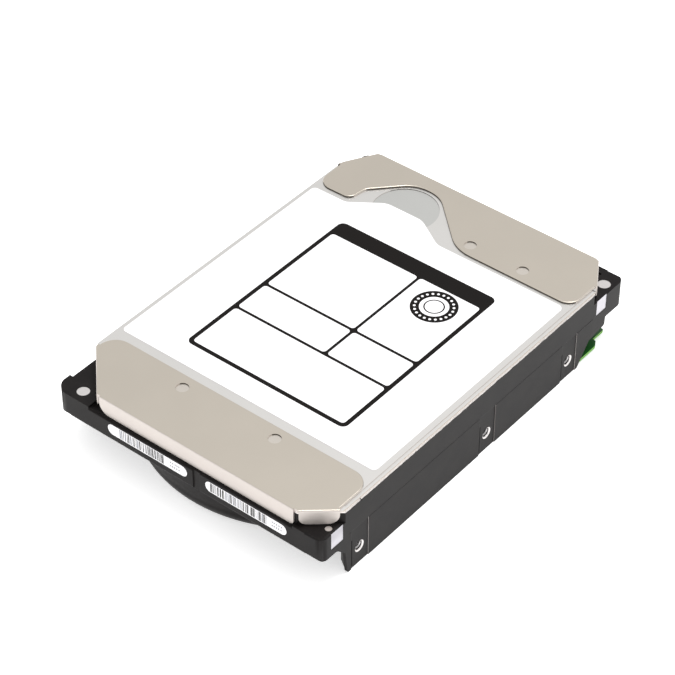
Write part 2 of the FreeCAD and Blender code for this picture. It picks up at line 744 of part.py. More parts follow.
def make_arm(z, half):
    """One arm, pointing along +X from the pivot, with its lightening hole."""
    plate = prism([
        (PIV_X + 4.0, PIV_Y - 8.0, 0),
        (PIV_X + 12.0, PIV_Y - 7.2, 4.0),
        (PIV_X + 38.5, PIV_Y - 3.0, 2.0),
        (PIV_X + 38.5, PIV_Y + 3.0, 2.0),
        (PIV_X + 12.0, PIV_Y + 6.0, 4.0),
        (PIV_X + 4.0, PIV_Y + 7.4, 0),
    ], z - half, z + half)
    hole = prism([
        (PIV_X + 14.0, PIV_Y - 3.6, 1.2),
        (PIV_X + 31.0, PIV_Y - 1.3, 0.8),
        (PIV_X + 31.0, PIV_Y + 1.3, 0.8),
        (PIV_X + 14.0, PIV_Y + 2.8, 1.2),
    ], z - half - 1, z + half + 1)
    return plate.cut(hole)


def make_block():
    shapes = [cyl(PIV_X, PIV_Y, 8.5, BLOCK_LOW, BLOCK_TOP)]
    for k in range(ARM_COUNT):
        shapes.append(make_arm(arm_z(k), ARM_T / 2))
    # Fork that carries the coil, behind the pivot
    for sign in (-1, 1):
        a = 180 + sign * (COIL_HALF_DEG - 3.0)
        p = polar(PIV_X, PIV_Y, 7.0, a + sign * 8)
        q = polar(PIV_X, PIV_Y, 12.4, a + sign * 2)
        r = polar(PIV_X, PIV_Y, 12.4, a - sign * 7)
        s = polar(PIV_X, PIV_Y, 7.0, a - sign * 14)
        order = [p, q, r, s] if sign > 0 else [s, r, q, p]
        shapes.append(prism(order[::-1], COIL_Z0, COIL_Z1))
    block = fused(shapes)
    block = block.cut(cyl(PIV_X, PIV_Y, 5.5, BLOCK_LOW - 1, BLOCK_TOP + 1))
    return turned(block, PARK_DEG)


save("arm_block", make_block())
save("pivot_bearing", tube(PIV_X, PIV_Y, 2.55, 5.5, 6.4, BLOCK_TOP - 0.1))
save("pivot_shaft", fused([
    cyl(PIV_X, PIV_Y, 2.5, 6.0, SEAT_Z + 0.5),
    cyl(PIV_X, PIV_Y, 2.0, 4.4, 6.1),
]).cut(cyl(PIV_X, PIV_Y, 0.9, SEAT_Z - 4.0, SEAT_Z + 1)))
save("pivot_and_spindle_screws", [
    screw(PIV_X, PIV_Y, SEAT_Z + 1.3, 1.9, 0.28, 0.9, 4.6),
    screw(0, SPIN_Y, SEAT_Z + 1.3, 1.9, 0.28, 0.9, 4.6),
])


def coil_loop(r0, r1, half, z0, z1):
    return sector(PIV_X, PIV_Y, r0, r1, 180 - half, 180 + half, z0, z1)


def make_coil():
    outer = coil_loop(12.9, 23.0, COIL_HALF_DEG - 3.6, COIL_Z0 + 0.2, COIL_Z1 - 0.2)
    inner = coil_loop(16.2, 19.8, COIL_HALF_DEG - 13.5, COIL_Z0, COIL_Z1)
    return turned(outer.cut(inner), PARK_DEG)


def make_coil_frame():
    outer = coil_loop(12.4, 24.2, COIL_HALF_DEG, COIL_Z0, COIL_Z1)
    inner = coil_loop(12.9, 23.0, COIL_HALF_DEG - 3.6, COIL_Z0 - 1, COIL_Z1 + 1)
    frame = outer.cut(inner)
    tooth = sector(PIV_X, PIV_Y, 24.0, 25.8, 180 - COIL_HALF_DEG, 180 - COIL_HALF_DEG + 3.4,
                   COIL_Z0 + 0.4, COIL_Z1 - 0.4)
    return turned(fused([frame, tooth]), PARK_DEG)


save("voice_coil", make_coil())
save("coil_frame", make_coil_frame())


def head_levels():
    """Arm number, and +1 or -1 for a head above or below the arm."""
    for k in range(ARM_COUNT):
        if k < ARM_COUNT - 1:
            yield k, 1
        if k > 0:
            yield k, -1


def make_suspension(z, up):
    z0, z1 = (z + 0.4, z + 0.5) if up > 0 else (z - 0.5, z - 0.4)
    plate = box(PIV_X + 34.6, PIV_X + 39.2, PIV_Y - 2.2, PIV_Y + 2.2, z0, z1)
    beam = prism([
        (PIV_X + 39.0, PIV_Y - 2.2),
        (PIV_X + 49.4, PIV_Y - 0.9),
        (PIV_X + 51.4, PIV_Y - 0.9),
        (PIV_X + 51.4, PIV_Y - 0.25),
        (PIV_X + 53.6, PIV_Y - 0.25),
        (PIV_X + 53.6, PIV_Y + 0.25),
        (PIV_X + 51.4, PIV_Y + 0.25),
        (PIV_X + 51.4, PIV_Y + 0.9),
        (PIV_X + 49.4, PIV_Y + 0.9),
        (PIV_X + 39.0, PIV_Y + 2.2),
    ], z0, z1)
    return turned(fused([plate, beam]), PARK_DEG)


def make_slider(z, up):
    z0, z1 = (z + 0.5, z + 0.7) if up > 0 else (z - 0.7, z - 0.5)
    return turned(box(PIV_X + HEAD_R - 0.62, PIV_X + HEAD_R + 0.62,
                      PIV_Y - 0.5, PIV_Y + 0.5, z0, z1), PARK_DEG)


save("suspensions", [make_suspension(arm_z(k), up) for k, up in head_levels()])
save("head_sliders", [make_slider(arm_z(k), up) for k, up in head_levels()])
save("preamp_chip", turned(box(PIV_X + 8.6, PIV_X + 11.8, PIV_Y + 7.02, PIV_Y + 7.6,
                               9.0 + 0.2, 12.2), PARK_DEG))

# Magnet assembly above and below the coil
YOKE_A0 = 97.0
YOKE_A1 = 199.0
POSTS = [
    polar(PIV_X, PIV_Y, 22.0, 196.0),
    polar(PIV_X, PIV_Y, 22.0, 100.5),
    polar(PIV_X, PIV_Y, 29.6, 119.0),
]
LOWER_YOKE_Z = (BAY_FLOOR, BAY_FLOOR + 2.5)
LOWER_MAGNET_Z = (BAY_FLOOR + 2.5, 10.8)
UPPER_MAGNET_Z = (15.4, 18.1)
UPPER_YOKE_Z = (18.1, 20.6)


def make_yoke(z0, z1, hole_r):
    plate = [sector(PIV_X, PIV_Y, 10.2, 25.2, YOKE_A0 + 4, YOKE_A1 - 6, z0, z1)]
    for x, y in POSTS:
        plate.append(cyl(x, y, 2.9, z0, z1))
    x, y = POSTS[2]
    plate.append(prism([
        polar(PIV_X, PIV_Y, 24.0, 128),
        polar(PIV_X, PIV_Y, 24.0, 110),
        (x + 2.9, y),
        (x - 2.9, y),
    ][::-1], z0, z1))
    plate = fused(plate)
    for x, y in POSTS:
        plate = plate.cut(cyl(x, y, hole_r, z0 - 1, z1 + 1))
    return plate


def make_magnet(z0, z1):
    return sector(PIV_X, PIV_Y, 12.2, 23.2, 113.0, 184.0, z0, z1)


save("lower_yoke", make_yoke(*LOWER_YOKE_Z, 0.8))
save("upper_yoke", make_yoke(*UPPER_YOKE_Z, 0.8))
save("lower_magnet", make_magnet(*LOWER_MAGNET_Z))
save("upper_magnet", make_magnet(*UPPER_MAGNET_Z))
save("yoke_posts", [tube(x, y, 0.8, 1.4, LOWER_YOKE_Z[1], UPPER_YOKE_Z[0]) for x, y in POSTS])
save("crash_stop_sleeves", [tube(x, y, 1.4, 2.1, 10.9, 15.3) for x, y in POSTS[:2]])

# Parking ramp beside the disc pack
RAMP_FOOT = polar(PIV_X, PIV_Y, 62.6, -9.0)


def make_ramp():
    tower = sector(PIV_X, PIV_Y, 55.2, 60.0, -14.6, -6.0, BAY_FLOOR, 22.4)
    tower = tower.fuse(sector(PIV_X, PIV_Y, 54.6, 60.0, -12.4, -6.0, BAY_FLOOR, 22.4))
    shapes = [tower]
    for k in range(ARM_COUNT):
        shapes.append(sector(PIV_X, PIV_Y, 51.9, 56.0, -17.6, -8.4,
                             arm_z(k) - 0.3, arm_z(k) + 0.3))
    shapes.append(cyl(RAMP_FOOT[0], RAMP_FOOT[1], 2.4, BAY_FLOOR, 8.0))
    ramp = fused(shapes)
    ramp = ramp.cut(cyl(0, SPIN_Y, PLATTER_R + 0.5, PLATTER_LOW - 4, 30).cut(
        Part.makeCompound([sector(PIV_X, PIV_Y, 50, 70, -40, 0,
                                  arm_z(k) - 0.3, arm_z(k) + 0.3)
                           for k in range(ARM_COUNT)])))
    ramp = max(ramp.Solids, key=lambda s: s.Volume)
    return ramp.cut(cyl(RAMP_FOOT[0], RAMP_FOOT[1], 0.8, BAY_FLOOR - 1, 9.0))


save("load_ramp", make_ramp())

# Flexible circuit from the arm block to its bracket, and the bracket
BRACKET = (FEED_X0 + 1.5, FEED_X1 - 1.5, 45.6, 51.6)


def make_bracket():
    x0, x1, y0, y1 = BRACKET
    base = prism([(x0, y0, 1.0), (x1, y0, 1.0), (x1, y1, 1.0), (x0, y1, 1.0)],
                 BAY_FLOOR + 0.4, BAY_FLOOR + 1.8)
    wall = box(x0, x0 + 1.6, y0, y1, BAY_FLOOR + 1.6, 18.5)
    ears = [cyl(x0 - 1.5, y1 - 0.4, 2.2, BAY_FLOOR, BAY_FLOOR + 1.8),
            cyl(x1 + 2.0, 48.5, 2.2, BAY_FLOOR, BAY_FLOOR + 1.8)]
    bracket = fused([base, wall] + ears)
    bracket = bracket.cut(cyl(x0 - 1.5, y1 - 0.4, 0.8, 0, 30))
    return bracket.cut(cyl(x1 + 2.0, 48.5, 0.8, 0, 30))


save("flex_bracket", make_bracket())


def make_flex():
    """Upright ribbon on a smooth path of tangent arcs."""
    start = V(*polar(PIV_X, PIV_Y, 8.56, 62.0), 0)
    path = [start,
            V(PIV_X + 9.5, PIV_Y + 10.5, 0),
            V(PIV_X + 17.0, PIV_Y + 17.6, 0),
            V(PIV_X + 24.0, PIV_Y + 16.5, 0),
            V(BRACKET[0] - 0.1, 46.4, 0)]
    curve = Part.BSplineCurve()
    curve.interpolate(path)
    count = 36
    first, last = curve.FirstParameter, curve.LastParameter
    left = []
    right = []
    half = 0.06
    for i in range(count + 1):
        t = first + (last - first) * i / count
        p = curve.value(t)
        d = curve.tangent(t)[0]
        left.append((p.x - d.y * half, p.y + d.x * half))
        right.append((p.x + d.y * half, p.y - d.x * half))
    return prism((left + right[::-1])[::-1], 8.6, 17.4)


save("flex_cable", make_flex())
save("interior_screws", [
    screw(*POSTS[0], UPPER_YOKE_Z[1], 1.3, 0.8, 0.8, 13.6),
    screw(*POSTS[1], UPPER_YOKE_Z[1], 1.3, 0.8, 0.8, 13.6),
    screw(*POSTS[2], UPPER_YOKE_Z[1], 1.3, 0.8, 0.8, 13.6),
    screw(RAMP_FOOT[0], RAMP_FOOT[1], 8.0, 1.3, 0.8, 0.8, 2.35),
    screw(BRACKET[0] - 1.5, BRACKET[3] - 0.4, BAY_FLOOR + 1.8, 1.3, 0.8, 0.8, 1.75),
    screw(BRACKET[1] + 2.0, 48.5, BAY_FLOOR + 1.8, 1.3, 0.8, 0.8, 1.75),
])

# Feedthrough below the bracket
save("feedthrough_header", fused([
    box(FEED_X0 + 0.1, FEED_X1 - 0.1, FEED_Y0 + 0.1, FEED_Y1 - 0.1, BAY_LOW, BAY_LOW + 0.8),
    box(FEED_X0 + 1.3, FEED_X1 - 1.3, FEED_Y0 + 1.3, FEED_Y1 - 1.3, BAY_LOW + 0.7, BAY_FLOOR),
]))
save("feedthrough_pins", [
    cyl(FEED_X0 + 3.0 + 1.6 * i, y, 0.25, BOARD_TOP, BAY_LOW)
    for i in range(11) for y in (47.3, 49.7)])

# Latch that holds the coil frame if the parked drive is knocked
LATCH_TIP_DEG = 256.5
LATCH_TAIL_DEG = 330.0


def make_latch():
    tip = polar(LATCH_X, LATCH_Y, 8.3, LATCH_TIP_DEG)
    bar = prism([
        polar(LATCH_X, LATCH_Y, 1.3, LATCH_TIP_DEG - 90),
        polar(tip[0], tip[1], 0.7, LATCH_TIP_DEG - 90),
        polar(tip[0], tip[1], 0.7, LATCH_TIP_DEG + 90),
        polar(LATCH_X, LATCH_Y, 1.3, LATCH_TIP_DEG + 90),
    ], COIL_Z0 + 0.5, COIL_Z1 - 0.5)
    tail_tip = polar(LATCH_X, LATCH_Y, 3.1, LATCH_TAIL_DEG)
    tail = prism([
        polar(LATCH_X, LATCH_Y, 1.3, LATCH_TAIL_DEG - 90),
        polar(tail_tip[0], tail_tip[1], 1.5, LATCH_TAIL_DEG - 90),
        polar(tail_tip[0], tail_tip[1], 1.5, LATCH_TAIL_DEG + 90),
        polar(LATCH_X, LATCH_Y, 1.3, LATCH_TAIL_DEG + 90),
    ], COIL_Z0 + 0.5, COIL_Z1 - 0.5)
    latch = fused([
        bar,
        tail,
        cyl(LATCH_X, LATCH_Y, 1.9, COIL_Z0, COIL_Z1),
        cyl(tip[0], tip[1], 0.8, COIL_Z0 + 0.5, COIL_Z1 - 0.5),
    ])
    return latch.cut(cyl(LATCH_X, LATCH_Y, 0.85, 0, 30))


save("inertia_latch", make_latch())
save("latch_pin", fused([
    cyl(LATCH_X, LATCH_Y, 0.8, 4.4, 15.6),
    cyl(LATCH_X, LATCH_Y, 1.4, BAY_FLOOR, COIL_Z0 - 0.1),
    cyl(LATCH_X, LATCH_Y, 1.2, COIL_Z1 + 0.1, 15.6),
]))

# Filters
save("recirculation_filter", prism([
    (36.4, 26.0, 0.5),
    (38.2, 25.2, 0.5),
    (42.8, 33.8, 0.5),
    (41.0, 34.7, 0.5),
], BAY_FLOOR, 20.0))
save("desiccant_pack", prism([
    (33.5, 38.0, 1.0),
    (45.2, 38.0, 1.0),
    (45.2, 53.5, 1.0),
    (33.5, 53.5, 1.0),
], BAY_FLOOR, 17.0))

# ------------------------------------------------- circuit board and connector

BOARD = [
    (-43.2, 14.0, 1.5),
    (-36.0, 14.0, 1.0),
    (-30.0, 24.6, 4.0),
    (-13.0, 30.6, 6.0),
    (13.0, 30.6, 6.0),
    (30.0, 24.6, 4.0),
    (36.0, 14.0, 1.0),
    (43.2, 14.0, 1.5),
    (43.2, 51.8, 0.6),
    (50.4, 51.8, 0.6),
    (50.4, 60.4, 0.6),
    (49.2, 62.5, 0.5),
    (48.0, 62.6, 0.4),
    (48.0, 68.6, 0.6),
    (-43.2, 68.6, 1.5),
]


def make_board():
    board = prism(BOARD, BOARD_LOW, BOARD_TOP)
    board = board.cut(prism([(43.0, 50.0), (45.0, 50.0), (45.0, 51.9), (43.0, 51.9)], 0, 3))
    for x, y in BOARD_SCREWS:
        board = board.cut(cyl(x, y, 1.0, 0, 3))
    return board


save("control_board", make_board())


def board_screw(x, y):
    head = cyl(x, y, 1.8, 0.3, BOARD_LOW)
    shank = cyl(x, y, 0.8, BOARD_LOW - 0.1, BAY_LOW + 1.0)
    return fused([head, shank]).cut(prism([polar(x, y, 0.9, 60 * k) for k in range(6)], 0.0, 0.55))


save("board_screws", [board_screw(x, y) for x, y in BOARD_SCREWS])


def chip(x0, x1, y0, y1, height):
    return box(x0, x1, y0, y1, BOARD_TOP, BOARD_TOP + height)


save("controller_chip", chip(-14.0, -2.0, 36.0, 48.0, 1.2))
save("memory_chip", chip(-27.5, -18.5, 37.0, 49.0, 1.1))
save("motor_driver_chip", chip(-9.0, 0.0, 50.5, 56.5, 1.0))
save("flash_memory_chip", chip(-24.0, -18.0, 53.0, 58.0, 1.0))
save("board_capacitors", [chip(-34.0 + 3.0 * i, -32.4 + 3.0 * i, 30.6, 31.4, 0.8)
                          for i in range(3)] +
     [chip(29.5 + 2.6 * i, 31.1 + 2.6 * i, 28.0, 29.0, 0.9) for i in range(4)] +
     [chip(30.0 + 3.6 * i, 32.4 + 3.6 * i, 34.0, 36.4, 1.4) for i in range(3)] +
     [chip(-33.0 + 2.2 * i, -31.6 + 2.2 * i, 62.8, 63.6, 0.8) for i in range(11)])
save("board_insulator", prism([
    (-14.8, 33.0, 0.5),
    (-1.2, 33.0, 0.5),
    (-1.2, 34.8, 0.3),
    (-14.8, 34.8, 0.3),
], BOARD_TOP, BAY_LOW))

# Interface connector: one housing with the power and the data tongue
TONGUE_Z = 4.9
POWER_X = (4.0, 24.57)
DATA_X = (26.98, 37.39)


def make_connector():
    body = prism([
        (2.0, 59.0, 0.4),
        (39.6, 59.0, 0.4),
        (39.6, 65.6, 0.4),
        (2.0, 65.6, 0.4),
    ], BOARD_TOP, 7.9)
    guides = [box(2.0, 3.4, 65.0, 72.9, 2.4, 7.6), box(38.2, 39.6, 65.0, 72.9, 2.4, 7.6)]
    tongues = []
    for x0, x1 in (POWER_X, DATA_X):
        tongues.append(box(x0, x1, 65.0, 72.4, TONGUE_Z - 0.6, TONGUE_Z + 0.6))
    # The short leg of each L-shaped key
    tongues.append(box(POWER_X[0], POWER_X[0] + 1.2, 65.0, 72.4, TONGUE_Z - 0.6, TONGUE_Z + 1.9))
    tongues.append(box(DATA_X[0], DATA_X[0] + 1.2, 65.0, 72.4, TONGUE_Z - 0.6, TONGUE_Z + 1.9))
    connector = fused([body] + guides + tongues)
    return connector


def make_contacts():
    pads = []
    for i in range(15):
        x = POWER_X[0] + 2.5 + 1.27 * i
        pads.append(box(x - 0.4, x + 0.4, 65.6, 71.8, TONGUE_Z - 0.68, TONGUE_Z - 0.6))
    for i in range(7):
        x = DATA_X[0] + 1.9 + 1.27 * i
        pads.append(box(x - 0.4, x + 0.4, 65.6, 71.8, TONGUE_Z - 0.68, TONGUE_Z - 0.6))
    return pads


save("interface_connector", make_connector())
save("connector_contacts", make_contacts())
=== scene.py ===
import json
import math
import random

import bmesh
import bpy
from mathutils import Matrix, Vector


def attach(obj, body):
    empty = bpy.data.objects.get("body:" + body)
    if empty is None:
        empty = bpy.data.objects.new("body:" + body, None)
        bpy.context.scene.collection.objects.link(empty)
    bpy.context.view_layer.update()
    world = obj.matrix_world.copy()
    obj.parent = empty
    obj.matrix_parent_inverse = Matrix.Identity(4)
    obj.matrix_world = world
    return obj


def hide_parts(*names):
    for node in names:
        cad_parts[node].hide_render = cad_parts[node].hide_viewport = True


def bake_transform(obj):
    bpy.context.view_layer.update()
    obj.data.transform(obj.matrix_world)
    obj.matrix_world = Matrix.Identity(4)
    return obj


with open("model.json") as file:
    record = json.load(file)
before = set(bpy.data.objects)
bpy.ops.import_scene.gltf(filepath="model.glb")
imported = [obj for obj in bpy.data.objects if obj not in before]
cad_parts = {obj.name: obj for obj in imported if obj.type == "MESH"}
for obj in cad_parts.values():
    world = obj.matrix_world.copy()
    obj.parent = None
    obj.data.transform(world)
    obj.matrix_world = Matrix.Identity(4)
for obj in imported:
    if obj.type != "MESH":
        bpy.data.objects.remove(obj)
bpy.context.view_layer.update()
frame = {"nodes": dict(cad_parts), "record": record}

MM = 0.001
NODES = frame["nodes"]
SLOT_OF = {s["node"]: s["material_slot"] for s in frame["record"]["subparts"]}

# Places that follow the CAD, in millimetres
HALF_L = 73.5
SIDE_HOLE_Y = (45.0, 3.39, -56.6)
SIDE_HOLE_Z = 6.35
BOTTOM_HOLE_X = 47.625
BOTTOM_HOLE_Y = (32.22, -12.23, -43.98)
PAD_X = 50.55
PAD_HALF = 3.9
LABEL_TOP = 25.6
BOARD_LOW = 0.9
BOARD_SCREWS = ((-38.0, 60.5), (-38.5, 16.5), (39.5, 17.5), (39.0, 52.0), (-4.0, 59.5))


# ------------------------------------------------------------------ materials

def linear(rgb):
    """sRGB 0..255 to linear colour with alpha."""
    out = []
    for c in rgb:
        c /= 255.0
        out.append(c / 12.92 if c <= 0.04045 else ((c + 0.055) / 1.055) ** 2.4)
    return (*out, 1.0)


# Places of the mix node's colour sockets, which share their names with others
MIX_COLOURS_IN = (6, 7)
MIX_COLOUR_OUT = 2


class Nodes:
    """Small helper to build a material's node tree."""

    def __init__(self, name):
        self.material = bpy.data.materials.new(name)
        self.material.use_nodes = True
        self.tree = self.material.node_tree
        self.shader = self.tree.nodes["Principled BSDF"]
        self.coords = None

    def add(self, kind, **values):
        node = self.tree.nodes.new(kind)
        for key, value in values.items():
            if key in node.inputs:
                node.inputs[key].default_value = value
            else:
                setattr(node, key, value)
        return node

    def link(self, out, into):
        self.tree.links.new(out, into)

    def place(self):
        if self.coords is None:
            self.coords = self.add("ShaderNodeTexCoord")
        return self.coords.outputs["Object"]

    def noise(self, scale, detail=3.0):
        """Noise in object space."""
        noise = self.add("ShaderNodeTexNoise", Scale=scale, Detail=detail)
        self.link(self.place(), noise.inputs["Vector"])
        return noise.outputs["Fac"]

    def ramp(self, source, low, high):
        """0 below low, 1 above high."""
        node = self.add("ShaderNodeMapRange", interpolation_type="SMOOTHSTEP")
        node.inputs["From Min"].default_value = low
        node.inputs["From Max"].default_value = high
        self.link(source, node.inputs["Value"])
        return node.outputs["Result"]

    def mix(self, factor, a, b):
        """Colour a where the factor is 0, b where it is 1; each a socket or a colour."""
        node = self.add("ShaderNodeMix", data_type="RGBA")
        self.link(factor, node.inputs["Factor"])
        for place, value in zip(MIX_COLOURS_IN, (a, b)):
            if hasattr(value, "is_linked"):
                self.link(value, node.inputs[place])
            else:
                node.inputs[place].default_value = value
        return node.outputs[MIX_COLOUR_OUT]

    def calculate(self, operation, a, b):
        node = self.add("ShaderNodeMath", operation=operation)
        for socket, value in zip(node.inputs, (a, b)):
            if isinstance(value, (int, float)):
                socket.default_value = value
            else:
                self.link(value, socket)
        return node.outputs[0]

    def bump(self, source, strength, distance, soften=0.0):
        """Fine relief; a soften radius rounds the edges in the shading."""
        node = self.add("ShaderNodeBump", Strength=strength, Distance=distance)
        self.link(source, node.inputs["Height"])
        if soften:
            edge = self.add("ShaderNodeBevel", Radius=soften, samples=4)
            self.link(edge.outputs["Normal"], node.inputs["Normal"])
        self.link(node.outputs["Normal"], self.shader.inputs["Normal"])


def plain(name, rgb, rough, metal=0.0, vary=0.06, scale=400.0, grain=0.0, shine=0.5):
    """Principled material with a slight tone change and an optional fine grain."""
    n = Nodes(name)
    colour = linear(rgb)
    if vary:
        dark = (*(c * (1.0 - vary) for c in colour[:3]), 1.0)
        tone = n.noise(scale, 2.0)
        n.link(n.mix(n.ramp(tone, 0.3, 0.7), dark, colour), n.shader.inputs["Base Color"])
    else:
        n.shader.inputs["Base Color"].default_value = colour
    n.shader.inputs["Roughness"].default_value = rough
    n.shader.inputs["Metallic"].default_value = metal
    n.shader.inputs["Specular IOR Level"].default_value = shine
    if grain:
        n.bump(n.noise(scale * 6.0, 2.0), grain, 0.02 * MM)
    return n.material


# Height in mm at which the coat ends on the wall's machined top, and how far that line wavers
BARE_FROM_Z, BARE_FULL_Z = 24.8, 24.86
BARE_WAVER = 0.55


def casting_coat():
    """Black coat, worn to bright metal along the machined top of the wall."""
    n = Nodes("casting_black")
    metal = linear((222, 216, 212))
    tone = n.ramp(n.noise(160.0), 0.35, 0.65)
    coat = n.mix(tone, linear((20, 17, 17)), linear((25, 22, 21)))
    split = n.add("ShaderNodeSeparateXYZ")
    n.link(n.place(), split.inputs["Vector"])
    edge = n.calculate("MULTIPLY", n.noise(520.0, 4.0), BARE_WAVER * MM)
    height = n.calculate("ADD", split.outputs["Z"], edge)
    bare = n.ramp(height, BARE_FROM_Z * MM, BARE_FULL_Z * MM)
    n.link(n.mix(bare, coat, metal), n.shader.inputs["Base Color"])
    n.link(bare, n.shader.inputs["Metallic"])
    n.shader.inputs["Roughness"].default_value = 0.45
    n.shader.inputs["Specular IOR Level"].default_value = 0.13
    n.bump(n.noise(2600.0, 2.0), 0.18, 0.03 * MM, 0.25 * MM)
    return n.material


def label_paper():
    n = Nodes("label_paper")
    tone = n.ramp(n.noise(30.0), 0.3, 0.7)
    n.link(n.mix(tone, linear((250, 249, 250)), linear((254, 253, 254))),
           n.shader.inputs["Base Color"])
    n.shader.inputs["Roughness"].default_value = 0.5
    return n.material


# slot: (sRGB colour, roughness, metallic, tone change, noise scale, grain)
FINISHES = {
    "cover_nickel": ((203, 195, 183), 0.34, 1.0, 0.02, 60.0, 0.04),
    "inner_cover_metal": ((196, 196, 198), 0.3, 1.0, 0.05, 80.0, 0.05),
    "gasket_black": ((28, 28, 30), 0.8, 0.0, 0.1, 400.0, 0.2),
    "screw_steel": ((176, 176, 180), 0.28, 1.0, 0.06, 500.0, 0.0),
    "board_green": ((16, 98, 24), 0.35, 0.0, 0.12, 90.0, 0.03),
    "chip_black": ((30, 30, 32), 0.5, 0.0, 0.08, 900.0, 0.1),
    "capacitor_tan": ((158, 122, 86), 0.45, 0.0, 0.1, 900.0, 0.0),
    "insulator_grey": ((120, 124, 128), 0.8, 0.0, 0.1, 500.0, 0.2),
    "connector_black": ((26, 26, 28), 0.45, 0.0, 0.05, 500.0, 0.05),
    "contact_gold": ((232, 190, 96), 0.22, 1.0, 0.04, 700.0, 0.0),
    "header_steel": ((170, 168, 164), 0.4, 1.0, 0.06, 500.0, 0.05),
    "hub_metal": ((190, 190, 192), 0.22, 1.0, 0.04, 300.0, 0.03),
    "sleeve_steel": ((168, 168, 172), 0.2, 1.0, 0.03, 300.0, 0.0),
    "magnet_nickel": ((198, 196, 190), 0.18, 1.0, 0.03, 200.0, 0.0),
    "platter_mirror": ((214, 215, 218), 0.04, 1.0, 0.0, 100.0, 0.0),
    "spacer_metal": ((200, 200, 202), 0.24, 1.0, 0.03, 300.0, 0.0),
    "clamp_metal": ((204, 204, 206), 0.2, 1.0, 0.03, 300.0, 0.03),
    "core_steel": ((122, 122, 128), 0.4, 1.0, 0.08, 700.0, 0.1),
    "winding_copper": ((196, 112, 62), 0.3, 1.0, 0.1, 900.0, 0.1),
    "arm_metal": ((206, 206, 208), 0.26, 1.0, 0.05, 300.0, 0.04),
    "coil_plastic": ((40, 38, 36), 0.5, 0.0, 0.06, 500.0, 0.05),
    "suspension_steel": ((186, 186, 190), 0.2, 1.0, 0.03, 400.0, 0.0),
    "slider_ceramic": ((46, 44, 50), 0.2, 0.0, 0.05, 900.0, 0.0),
    "yoke_nickel": ((202, 200, 194), 0.26, 1.0, 0.05, 200.0, 0.03),
    "stop_rubber": ((34, 34, 36), 0.85, 0.0, 0.1, 700.0, 0.2),
    "ramp_plastic": ((222, 216, 200), 0.45, 0.0, 0.04, 400.0, 0.0),
    "bracket_plastic": ((46, 46, 50), 0.5, 0.0, 0.05, 500.0, 0.05),
    "flex_amber": ((196, 128, 40), 0.3, 0.0, 0.08, 300.0, 0.0),
    "latch_plastic": ((226, 222, 212), 0.45, 0.0, 0.04, 500.0, 0.0),
    "filter_white": ((232, 232, 228), 0.9, 0.0, 0.06, 900.0, 0.3),
    "desiccant_white": ((226, 226, 222), 0.85, 0.0, 0.06, 600.0, 0.2),
}

LOOKS = {slot: plain(slot, *finish) for slot, finish in FINISHES.items()}
LOOKS["casting_black"] = casting_coat()
LOOKS["label_white"] = label_paper()
LOOKS["front_label_white"] = LOOKS["label_white"]
COVER_LOW = plain("cover_low", (222, 220, 217), 0.36, 1.0, 0.02, 60.0, 0.04)
COVER_RECESS = plain("cover_recess", (205, 205, 202), 0.36, 1.0, 0.02, 60.0, 0.04)
COVER_PRESSED = plain("cover_pressed", (214, 207, 198), 0.34, 1.0, 0.02, 60.0, 0.04)
COVER_FLAP = plain("cover_flap", (208, 200, 194), 0.5, 0.6, 0.02, 60.0, 0.04)
# Step walls between the cover's levels, painted dark as the shade of a crease
COVER_STEP_SHADE = plain("cover_step_painted_shade", (92, 86, 80), 0.5, 1.0, 0.02, 60.0)
BOARD_EDGE = plain("board_edge", (96, 160, 44), 0.5, 0.0, 0.1, 600.0)
BARE = plain("bare_metal", (226, 222, 220), 0.3, 1.0, 0.05, 900.0, 0.08)
MILLED = plain("milled_metal", (208, 206, 211), 0.6, 0.6, 0.03, 900.0, 0.08)
# Light coat on the pads' sharp edge walls: a painted highlight
COAT_EDGE_HIGHLIGHT = plain("coat_edge_painted_highlight", (150, 145, 143), 0.5, 0.0, 0.06, 500.0)
# Near-black coat in the pads' grooves: painted shade
COAT_GROOVE_SHADE = plain("coat_groove_painted_shade", (8, 7, 7), 0.6, 0.0, 0.06, 500.0, shine=0.05)
THREAD = plain("thread_metal", (188, 186, 186), 0.3, 1.0, 0.1, 900.0, 0.05)
INK = plain("label_ink", (18, 14, 12), 0.75, 0.0, 0.04, 300.0, shine=0.15)
GREY_INK = plain("grey_ink", (140, 142, 150), 0.5, 0.0, 0.04, 300.0)
TRACE = plain("masked_copper", (30, 112, 48), 0.28, 0.0, 0.08, 200.0)
TIN = plain("tinned_pad", (206, 206, 208), 0.3, 1.0, 0.04, 600.0, 0.05)


# -------------------------------------------------------------- mesh helpers

def link_mesh(name, mesh, materials, body="enclosure"):
    piece = bpy.data.objects.new(name, mesh)
    bpy.context.scene.collection.objects.link(piece)
    for m in materials:
        mesh.materials.append(m)
    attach(piece, body)
    return piece


def from_bmesh(bm):
    mesh = bpy.data.meshes.new("mesh")
    bmesh.ops.recalc_face_normals(bm, faces=bm.faces)
    bm.to_mesh(mesh)
    bm.free()
    return mesh


def smooth_by_angle(mesh, degrees=35.0):
    mesh.polygons.foreach_set("use_smooth", [True] * len(mesh.polygons))
    mesh.set_sharp_from_angle(angle=math.radians(degrees))


def circle(x, y, r, count=48):
    return [(x + r * math.cos(math.tau * i / count), y + r * math.sin(math.tau * i / count))
            for i in range(count)]


def rounded(x0, x1, y0, y1, r, count=8):
    """Rectangle outline with round corners, anticlockwise."""
    points = []
    for cx, cy, start in ((x1 - r, y1 - r, 0), (x0 + r, y1 - r, 90),
                          (x0 + r, y0 + r, 180), (x1 - r, y0 + r, 270)):
        for i in range(count + 1):
            a = math.radians(start + 90.0 * i / count)
            points.append((cx + r * math.cos(a), cy + r * math.sin(a)))
    return points


